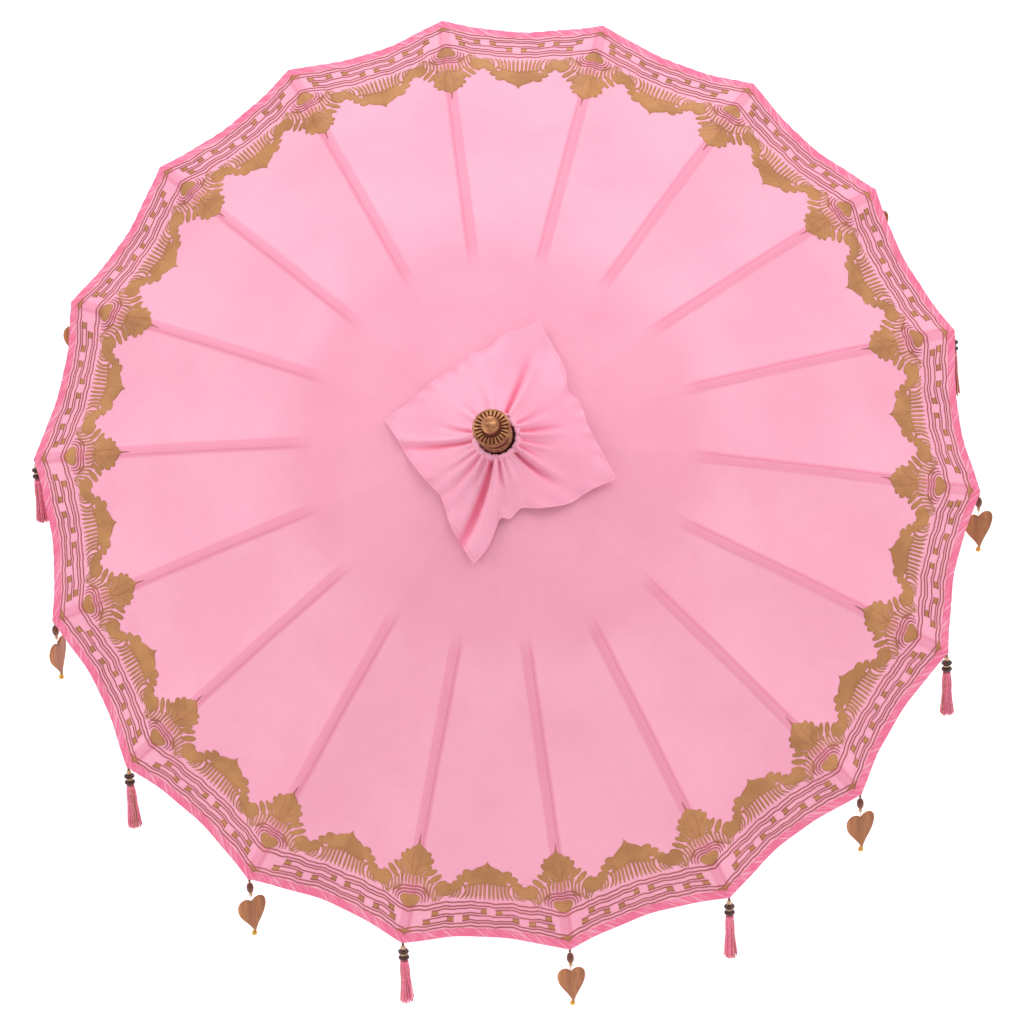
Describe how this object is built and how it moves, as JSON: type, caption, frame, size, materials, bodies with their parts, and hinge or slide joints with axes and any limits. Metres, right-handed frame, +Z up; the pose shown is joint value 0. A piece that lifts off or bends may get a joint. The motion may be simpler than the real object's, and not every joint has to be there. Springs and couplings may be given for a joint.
{
  "type": "garden parasol",
  "caption": "Open round garden parasol on a leaning pole, with painted pink cloth over curved wooden ribs, a square top cap, a turned finial, and tassels and wooden hearts at the rib tips.",
  "frame": {"origin": "centre of the flat foot of the pole, which holds the parasol up", "axes": "+Z is up; the pole leans 32 degrees above the horizontal, rising towards -Y, so the open canopy faces -Y and upward and every pendant hangs plumb; +X is to the right of somebody facing the canopy"},
  "size_m": [2.047, 2.1556, 1.853],
  "materials": {
    "pole_wood": "stained turned hardwood, satin varnish",
    "hub_wood": "stained turned hardwood, satin varnish",
    "rib_wood": "planed light hardwood, thin varnish",
    "antique_gilt": "turned wood, rubbed antique gold paint",
    "canopy_cloth": "plain-weave cotton, matt, hand-painted gold border",
    "cap_cloth": "plain-weave cotton, matt",
    "tassel_yarn": "cotton yarn, matt",
    "heart_wood": "sawn and oiled wood with open grain",
    "gold_paint": "dull gold fabric paint",
    "bead_wood": "dark lacquered wooden bead",
    "bead_glass": "small clear bead",
    "brass": "small spun brass, lightly tarnished"
  },
  "bodies": {
    "root": {"pole": "pole_wood", "crown": "hub_wood", "finial": "antique_gilt", "canopy": "canopy_cloth", "top_cap": "cap_cloth"},
    "runner": {"runner": "hub_wood"},
    "rib_01": {"rib_01": "rib_wood"},
    "stretcher_01": {"stretcher_01": "rib_wood"},
    "rib_02": {"rib_02": "rib_wood"},
    "stretcher_02": {"stretcher_02": "rib_wood"},
    "rib_03": {"rib_03": "rib_wood"},
    "stretcher_03": {"stretcher_03": "rib_wood"},
    "rib_04": {"rib_04": "rib_wood"},
    "stretcher_04": {"stretcher_04": "rib_wood"},
    "rib_05": {"rib_05": "rib_wood"},
    "stretcher_05": {"stretcher_05": "rib_wood"},
    "rib_06": {"rib_06": "rib_wood"},
    "stretcher_06": {"stretcher_06": "rib_wood"},
    "rib_07": {"rib_07": "rib_wood"},
    "stretcher_07": {"stretcher_07": "rib_wood"},
    "rib_08": {"rib_08": "rib_wood"},
    "stretcher_08": {"stretcher_08": "rib_wood"},
    "rib_09": {"rib_09": "rib_wood"},
    "stretcher_09": {"stretcher_09": "rib_wood"},
    "rib_10": {"rib_10": "rib_wood"},
    "stretcher_10": {"stretcher_10": "rib_wood"},
    "rib_11": {"rib_11": "rib_wood"},
    "stretcher_11": {"stretcher_11": "rib_wood"},
    "rib_12": {"rib_12": "rib_wood"},
    "stretcher_12": {"stretcher_12": "rib_wood"},
    "rib_13": {"rib_13": "rib_wood"},
    "stretcher_13": {"stretcher_13": "rib_wood"},
    "rib_14": {"rib_14": "rib_wood"},
    "stretcher_14": {"stretcher_14": "rib_wood"},
    "rib_15": {"rib_15": "rib_wood"},
    "stretcher_15": {"stretcher_15": "rib_wood"},
    "rib_16": {"rib_16": "rib_wood"},
    "stretcher_16": {"stretcher_16": "rib_wood"},
    "rib_17": {"rib_17": "rib_wood"},
    "stretcher_17": {"stretcher_17": "rib_wood"},
    "rib_18": {"rib_18": "rib_wood"},
    "stretcher_18": {"stretcher_18": "rib_wood"},
    "tassel_pendant_01": {"tassel_pendant_01": "tassel_yarn"},
    "heart_pendant_02": {"heart_pendant_02": "heart_wood"},
    "tassel_pendant_03": {"tassel_pendant_03": "tassel_yarn"},
    "heart_pendant_04": {"heart_pendant_04": "heart_wood"},
    "tassel_pendant_05": {"tassel_pendant_05": "tassel_yarn"},
    "heart_pendant_06": {"heart_pendant_06": "heart_wood"},
    "tassel_pendant_07": {"tassel_pendant_07": "tassel_yarn"},
    "heart_pendant_08": {"heart_pendant_08": "heart_wood"},
    "tassel_pendant_09": {"tassel_pendant_09": "tassel_yarn"},
    "heart_pendant_10": {"heart_pendant_10": "heart_wood"},
    "tassel_pendant_11": {"tassel_pendant_11": "tassel_yarn"},
    "heart_pendant_12": {"heart_pendant_12": "heart_wood"},
    "tassel_pendant_13": {"tassel_pendant_13": "tassel_yarn"},
    "heart_pendant_14": {"heart_pendant_14": "heart_wood"},
    "tassel_pendant_15": {"tassel_pendant_15": "tassel_yarn"},
    "heart_pendant_16": {"heart_pendant_16": "heart_wood"},
    "tassel_pendant_17": {"tassel_pendant_17": "tassel_yarn"},
    "heart_pendant_18": {"heart_pendant_18": "heart_wood"}
  },
  "joints": [
    {"name": "runner_slide", "type": "slide", "parent": "root", "child": "runner", "axis": [0, 0.848, -0.5299], "range_m": [0, 0.53068], "deforming": ["canopy"]},
    {"name": "rib_hinge_01", "type": "hinge", "parent": "root", "child": "rib_01", "pos_m": [-0.00381, -1.95379, 1.27018], "axis": [-0.9959, -0.048, -0.0769], "range_deg": [0, 59.5]},
    {"name": "rib_hinge_02", "type": "hinge", "parent": "root", "child": "rib_02", "pos_m": [0.01073, -1.95443, 1.26915], "axis": [-0.9668, 0.1354, 0.2166], "range_deg": [0, 59.5]},
    {"name": "rib_hinge_03", "type": "hinge", "parent": "root", "child": "rib_03", "pos_m": [0.02397, -1.95768, 1.26396], "axis": [-0.8211, 0.3024, 0.484], "range_deg": [0, 59.5]},
    {"name": "rib_hinge_04", "type": "hinge", "parent": "root", "child": "rib_04", "pos_m": [0.03432, -1.96312, 1.25524], "axis": [-0.5764, 0.433, 0.693], "range_deg": [0, 59.5]},
    {"name": "rib_hinge_05", "type": "hinge", "parent": "root", "child": "rib_05", "pos_m": [0.04053, -1.97012, 1.24405], "axis": [-0.2622, 0.5114, 0.8184], "range_deg": [0, 59.5]},
    {"name": "rib_hinge_06", "type": "hinge", "parent": "root", "child": "rib_06", "pos_m": [0.04185, -1.97781, 1.23173], "axis": [0.0837, 0.5281, 0.8451], "range_deg": [0, 59.5]},
    {"name": "rib_hinge_07", "type": "hinge", "parent": "root", "child": "rib_07", "pos_m": [0.03813, -1.98529, 1.21977], "axis": [0.4195, 0.481, 0.7698], "range_deg": [0, 59.5]},
    {"name": "rib_hinge_08", "type": "hinge", "parent": "root", "child": "rib_08", "pos_m": [0.0298, -1.99164, 1.20961], "axis": [0.7046, 0.376, 0.6018], "range_deg": [0, 59.5]},
    {"name": "rib_hinge_09", "type": "hinge", "parent": "root", "child": "rib_09", "pos_m": [0.01788, -1.99609, 1.20248], "axis": [0.9048, 0.2256, 0.3611], "range_deg": [0, 59.5]},
    {"name": "rib_hinge_10", "type": "hinge", "parent": "root", "child": "rib_10", "pos_m": [0.00381, -1.99812, 1.19924], "axis": [0.9959, 0.048, 0.0769], "range_deg": [0, 59.5]},
    {"name": "rib_hinge_11", "type": "hinge", "parent": "root", "child": "rib_11", "pos_m": [-0.01073, -1.99747, 1.20028], "axis": [0.9668, -0.1354, -0.2166], "range_deg": [0, 59.5]},
    {"name": "rib_hinge_12", "type": "hinge", "parent": "root", "child": "rib_12", "pos_m": [-0.02397, -1.99423, 1.20546], "axis": [0.8211, -0.3024, -0.484], "range_deg": [0, 59.5]},
    {"name": "rib_hinge_13", "type": "hinge", "parent": "root", "child": "rib_13", "pos_m": [-0.03432, -1.98878, 1.21418], "axis": [0.5764, -0.433, -0.693], "range_deg": [0, 59.5]},
    {"name": "rib_hinge_14", "type": "hinge", "parent": "root", "child": "rib_14", "pos_m": [-0.04053, -1.98179, 1.22537], "axis": [0.2622, -0.5114, -0.8184], "range_deg": [0, 59.5]},
    {"name": "rib_hinge_15", "type": "hinge", "parent": "root", "child": "rib_15", "pos_m": [-0.04185, -1.97409, 1.23769], "axis": [-0.0837, -0.5281, -0.8451], "range_deg": [0, 59.5]},
    {"name": "rib_hinge_16", "type": "hinge", "parent": "root", "child": "rib_16", "pos_m": [-0.03813, -1.96662, 1.24965], "axis": [-0.4195, -0.481, -0.7698], "range_deg": [0, 59.5]},
    {"name": "rib_hinge_17", "type": "hinge", "parent": "root", "child": "rib_17", "pos_m": [-0.0298, -1.96027, 1.25981], "axis": [-0.7046, -0.376, -0.6018], "range_deg": [0, 59.5]},
    {"name": "rib_hinge_18", "type": "hinge", "parent": "root", "child": "rib_18", "pos_m": [-0.01788, -1.95581, 1.26694], "axis": [-0.9048, -0.2256, -0.3611], "range_deg": [0, 59.5]},
    {"name": "stretcher_pivot_01", "type": "hinge", "parent": "rib_01", "child": "stretcher_01", "pos_m": [-0.03941, -1.62049, 1.52325], "axis": [-0.9959, -0.048, -0.0769], "range_deg": [-119, 0]},
    {"name": "stretcher_pivot_02", "type": "hinge", "parent": "rib_02", "child": "stretcher_02", "pos_m": [0.11108, -1.62719, 1.51253], "axis": [-0.9668, 0.1354, 0.2166], "range_deg": [-119, 0]},
    {"name": "stretcher_pivot_03", "type": "hinge", "parent": "rib_03", "child": "stretcher_03", "pos_m": [0.24818, -1.66075, 1.45881], "axis": [-0.8211, 0.3024, 0.484], "range_deg": [-119, 0]},
    {"name": "stretcher_pivot_04", "type": "hinge", "parent": "rib_04", "child": "stretcher_04", "pos_m": [0.35534, -1.71714, 1.36857], "axis": [-0.5764, 0.433, 0.693], "range_deg": [-119, 0]},
    {"name": "stretcher_pivot_05", "type": "hinge", "parent": "rib_05", "child": "stretcher_05", "pos_m": [0.41964, -1.78956, 1.25268], "axis": [-0.2622, 0.5114, 0.8184], "range_deg": [-119, 0]},
    {"name": "stretcher_pivot_06", "type": "hinge", "parent": "rib_06", "child": "stretcher_06", "pos_m": [0.43333, -1.86926, 1.12513], "axis": [0.0837, 0.5281, 0.8451], "range_deg": [-119, 0]},
    {"name": "stretcher_pivot_07", "type": "hinge", "parent": "rib_07", "child": "stretcher_07", "pos_m": [0.39475, -1.94663, 1.00131], "axis": [0.4195, 0.481, 0.7698], "range_deg": [-119, 0]},
    {"name": "stretcher_pivot_08", "type": "hinge", "parent": "rib_08", "child": "stretcher_08", "pos_m": [0.30856, -2.01235, 0.89614], "axis": [0.7046, 0.376, 0.6018], "range_deg": [-119, 0]},
    {"name": "stretcher_pivot_09", "type": "hinge", "parent": "rib_09", "child": "stretcher_09", "pos_m": [0.18515, -2.05848, 0.82232], "axis": [0.9048, 0.2256, 0.3611], "range_deg": [-119, 0]},
    {"name": "stretcher_pivot_10", "type": "hinge", "parent": "rib_10", "child": "stretcher_10", "pos_m": [0.03941, -2.07946, 0.78873], "axis": [0.9959, 0.048, 0.0769], "range_deg": [-119, 0]},
    {"name": "stretcher_pivot_11", "type": "hinge", "parent": "rib_11", "child": "stretcher_11", "pos_m": [-0.11108, -2.07277, 0.79945], "axis": [0.9668, -0.1354, -0.2166], "range_deg": [-119, 0]},
    {"name": "stretcher_pivot_12", "type": "hinge", "parent": "rib_12", "child": "stretcher_12", "pos_m": [-0.24818, -2.0392, 0.85317], "axis": [0.8211, -0.3024, -0.484], "range_deg": [-119, 0]},
    {"name": "stretcher_pivot_13", "type": "hinge", "parent": "rib_13", "child": "stretcher_13", "pos_m": [-0.35534, -1.98281, 0.94342], "axis": [0.5764, -0.433, -0.693], "range_deg": [-119, 0]},
    {"name": "stretcher_pivot_14", "type": "hinge", "parent": "rib_14", "child": "stretcher_14", "pos_m": [-0.41964, -1.9104, 1.0593], "axis": [0.2622, -0.5114, -0.8184], "range_deg": [-119, 0]},
    {"name": "stretcher_pivot_15", "type": "hinge", "parent": "rib_15", "child": "stretcher_15", "pos_m": [-0.43333, -1.83069, 1.18685], "axis": [-0.0837, -0.5281, -0.8451], "range_deg": [-119, 0]},
    {"name": "stretcher_pivot_16", "type": "hinge", "parent": "rib_16", "child": "stretcher_16", "pos_m": [-0.39475, -1.75332, 1.31068], "axis": [-0.4195, -0.481, -0.7698], "range_deg": [-119, 0]},
    {"name": "stretcher_pivot_17", "type": "hinge", "parent": "rib_17", "child": "stretcher_17", "pos_m": [-0.30856, -1.6876, 1.41585], "axis": [-0.7046, -0.376, -0.6018], "range_deg": [-119, 0]},
    {"name": "stretcher_pivot_18", "type": "hinge", "parent": "rib_18", "child": "stretcher_18", "pos_m": [-0.18515, -1.64147, 1.48967], "axis": [-0.9048, -0.2256, -0.3611], "range_deg": [-119, 0]},
    {"name": "tassel_swing_01", "type": "hinge", "parent": "rib_01", "child": "tassel_pendant_01", "pos_m": [-0.09107, -1.0376, 1.82839], "axis": [0.9986, 0.046, 0.0255], "range_deg": [0, 117.37]},
    {"name": "heart_swing_02", "type": "hinge", "parent": "rib_02", "child": "heart_pendant_02", "pos_m": [0.25669, -1.05307, 1.80362], "axis": [0.758, -0.6027, 0.2495], "range_deg": [0, 122.2]},
    {"name": "tassel_swing_03", "type": "hinge", "parent": "rib_03", "child": "tassel_pendant_03", "pos_m": [0.57348, -1.13064, 1.67949], "axis": [0.9396, -0.2994, -0.166], "range_deg": [0, 111.64]},
    {"name": "heart_swing_04", "type": "hinge", "parent": "rib_04", "child": "heart_pendant_04", "pos_m": [0.82111, -1.26095, 1.47095], "axis": [0.6509, -0.757, 0.058], "range_deg": [0, 98.98]},
    {"name": "tassel_swing_05", "type": "hinge", "parent": "rib_05", "child": "tassel_pendant_05", "pos_m": [0.9697, -1.42829, 1.20316], "axis": [0.7449, -0.5835, -0.3234], "range_deg": [0, 91.74]},
    {"name": "heart_swing_06", "type": "hinge", "parent": "rib_06", "child": "heart_pendant_06", "pos_m": [1.00133, -1.61246, 0.90842], "axis": [0.6261, -0.6593, -0.4164], "range_deg": [0, 79.07]},
    {"name": "tassel_swing_07", "type": "hinge", "parent": "rib_07", "child": "tassel_pendant_07", "pos_m": [0.91218, -1.79125, 0.62229], "axis": [0.4685, -0.7727, -0.4283], "range_deg": [0, 61.31]},
    {"name": "heart_swing_08", "type": "hinge", "parent": "rib_08", "child": "heart_pendant_08", "pos_m": [0.71301, -1.94311, 0.37927], "axis": [0.3665, -0.3349, -0.8681], "range_deg": [0, 82.95]},
    {"name": "tassel_swing_09", "type": "hinge", "parent": "rib_09", "child": "tassel_pendant_09", "pos_m": [0.42785, -2.04971, 0.20867], "axis": [0.1324, -0.8669, -0.4805], "range_deg": [0, 24.61]},
    {"name": "heart_swing_10", "type": "hinge", "parent": "rib_10", "child": "heart_pendant_10", "pos_m": [0.09107, -2.0982, 0.13107], "axis": [0.0228, -0.0644, -0.9977], "range_deg": [0, 73.65]},
    {"name": "tassel_swing_11", "type": "hinge", "parent": "rib_11", "child": "tassel_pendant_11", "pos_m": [-0.25669, -2.08272, 0.15584], "axis": [0.0103, 0.8746, 0.4848], "range_deg": [0, 14.57]},
    {"name": "heart_swing_12", "type": "hinge", "parent": "rib_12", "child": "heart_pendant_12", "pos_m": [-0.57348, -2.00515, 0.27998], "axis": [0.278, 0.3827, 0.8811], "range_deg": [0, 65.53]},
    {"name": "tassel_swing_13", "type": "hinge", "parent": "rib_13", "child": "tassel_pendant_13", "pos_m": [-0.82111, -1.87484, 0.48852], "axis": [0.3881, 0.8061, 0.4468], "range_deg": [0, 52.2]},
    {"name": "heart_swing_14", "type": "hinge", "parent": "rib_14", "child": "heart_pendant_14", "pos_m": [-0.9697, -1.70751, 0.7563], "axis": [0.2173, 0.9524, -0.2136], "range_deg": [0, 64.23]},
    {"name": "tassel_swing_15", "type": "hinge", "parent": "rib_15", "child": "tassel_pendant_15", "pos_m": [-1.00133, -1.52334, 1.05104], "axis": [0.6789, 0.6422, 0.356], "range_deg": [0, 84.67]},
    {"name": "heart_swing_16", "type": "hinge", "parent": "rib_16", "child": "heart_pendant_16", "pos_m": [-0.91218, -1.34454, 1.33717], "axis": [0.7138, 0.6891, 0.125], "range_deg": [0, 93.1]},
    {"name": "tassel_swing_17", "type": "hinge", "parent": "rib_17", "child": "tassel_pendant_17", "pos_m": [-0.71301, -1.19269, 1.5802], "axis": [0.8999, 0.3814, 0.2114], "range_deg": [0, 107.71]},
    {"name": "heart_swing_18", "type": "hinge", "parent": "rib_18", "child": "heart_pendant_18", "pos_m": [-0.42785, -1.08609, 1.75079], "axis": [0.6077, 0.74, -0.2883], "range_deg": [0, 121.22]}
  ],
  "couplings": [
    {"joint": "rib_hinge_01", "follows": "runner_slide", "rad_per_m": 1.9569},
    {"joint": "rib_hinge_02", "follows": "runner_slide", "rad_per_m": 1.9569},
    {"joint": "rib_hinge_03", "follows": "runner_slide", "rad_per_m": 1.9569},
    {"joint": "rib_hinge_04", "follows": "runner_slide", "rad_per_m": 1.9569},
    {"joint": "rib_hinge_05", "follows": "runner_slide", "rad_per_m": 1.9569},
    {"joint": "rib_hinge_06", "follows": "runner_slide", "rad_per_m": 1.9569},
    {"joint": "rib_hinge_07", "follows": "runner_slide", "rad_per_m": 1.9569},
    {"joint": "rib_hinge_08", "follows": "runner_slide", "rad_per_m": 1.9569},
    {"joint": "rib_hinge_09", "follows": "runner_slide", "rad_per_m": 1.9569},
    {"joint": "rib_hinge_10", "follows": "runner_slide", "rad_per_m": 1.9569},
    {"joint": "rib_hinge_11", "follows": "runner_slide", "rad_per_m": 1.9569},
    {"joint": "rib_hinge_12", "follows": "runner_slide", "rad_per_m": 1.9569},
    {"joint": "rib_hinge_13", "follows": "runner_slide", "rad_per_m": 1.9569},
    {"joint": "rib_hinge_14", "follows": "runner_slide", "rad_per_m": 1.9569},
    {"joint": "rib_hinge_15", "follows": "runner_slide", "rad_per_m": 1.9569},
    {"joint": "rib_hinge_16", "follows": "runner_slide", "rad_per_m": 1.9569},
    {"joint": "rib_hinge_17", "follows": "runner_slide", "rad_per_m": 1.9569},
    {"joint": "rib_hinge_18", "follows": "runner_slide", "rad_per_m": 1.9569},
    {"joint": "stretcher_pivot_01", "follows": "runner_slide", "rad_per_m": -3.9137},
    {"joint": "stretcher_pivot_02", "follows": "runner_slide", "rad_per_m": -3.9137},
    {"joint": "stretcher_pivot_03", "follows": "runner_slide", "rad_per_m": -3.9137},
    {"joint": "stretcher_pivot_04", "follows": "runner_slide", "rad_per_m": -3.9137},
    {"joint": "stretcher_pivot_05", "follows": "runner_slide", "rad_per_m": -3.9137},
    {"joint": "stretcher_pivot_06", "follows": "runner_slide", "rad_per_m": -3.9137},
    {"joint": "stretcher_pivot_07", "follows": "runner_slide", "rad_per_m": -3.9137},
    {"joint": "stretcher_pivot_08", "follows": "runner_slide", "rad_per_m": -3.9137},
    {"joint": "stretcher_pivot_09", "follows": "runner_slide", "rad_per_m": -3.9137},
    {"joint": "stretcher_pivot_10", "follows": "runner_slide", "rad_per_m": -3.9137},
    {"joint": "stretcher_pivot_11", "follows": "runner_slide", "rad_per_m": -3.9137},
    {"joint": "stretcher_pivot_12", "follows": "runner_slide", "rad_per_m": -3.9137},
    {"joint": "stretcher_pivot_13", "follows": "runner_slide", "rad_per_m": -3.9137},
    {"joint": "stretcher_pivot_14", "follows": "runner_slide", "rad_per_m": -3.9137},
    {"joint": "stretcher_pivot_15", "follows": "runner_slide", "rad_per_m": -3.9137},
    {"joint": "stretcher_pivot_16", "follows": "runner_slide", "rad_per_m": -3.9137},
    {"joint": "stretcher_pivot_17", "follows": "runner_slide", "rad_per_m": -3.9137},
    {"joint": "stretcher_pivot_18", "follows": "runner_slide", "rad_per_m": -3.9137},
    {"joint": "tassel_swing_01", "follows": "runner_slide", "rad_per_m": 3.86},
    {"joint": "heart_swing_02", "follows": "runner_slide", "rad_per_m": 4.0191},
    {"joint": "tassel_swing_03", "follows": "runner_slide", "rad_per_m": 3.6717},
    {"joint": "heart_swing_04", "follows": "runner_slide", "rad_per_m": 3.2554},
    {"joint": "tassel_swing_05", "follows": "runner_slide", "rad_per_m": 3.0173},
    {"joint": "heart_swing_06", "follows": "runner_slide", "rad_per_m": 2.6006},
    {"joint": "tassel_swing_07", "follows": "runner_slide", "rad_per_m": 2.0164},
    {"joint": "heart_swing_08", "follows": "runner_slide", "rad_per_m": 2.7281},
    {"joint": "tassel_swing_09", "follows": "runner_slide", "rad_per_m": 0.80953},
    {"joint": "heart_swing_10", "follows": "runner_slide", "rad_per_m": 2.4223},
    {"joint": "tassel_swing_11", "follows": "runner_slide", "rad_per_m": 0.47902},
    {"joint": "heart_swing_12", "follows": "runner_slide", "rad_per_m": 2.1551},
    {"joint": "tassel_swing_13", "follows": "runner_slide", "rad_per_m": 1.7169},
    {"joint": "heart_swing_14", "follows": "runner_slide", "rad_per_m": 2.1125},
    {"joint": "tassel_swing_15", "follows": "runner_slide", "rad_per_m": 2.7847},
    {"joint": "heart_swing_16", "follows": "runner_slide", "rad_per_m": 3.0618},
    {"joint": "tassel_swing_17", "follows": "runner_slide", "rad_per_m": 3.5424},
    {"joint": "heart_swing_18", "follows": "runner_slide", "rad_per_m": 3.9869}
  ]
}
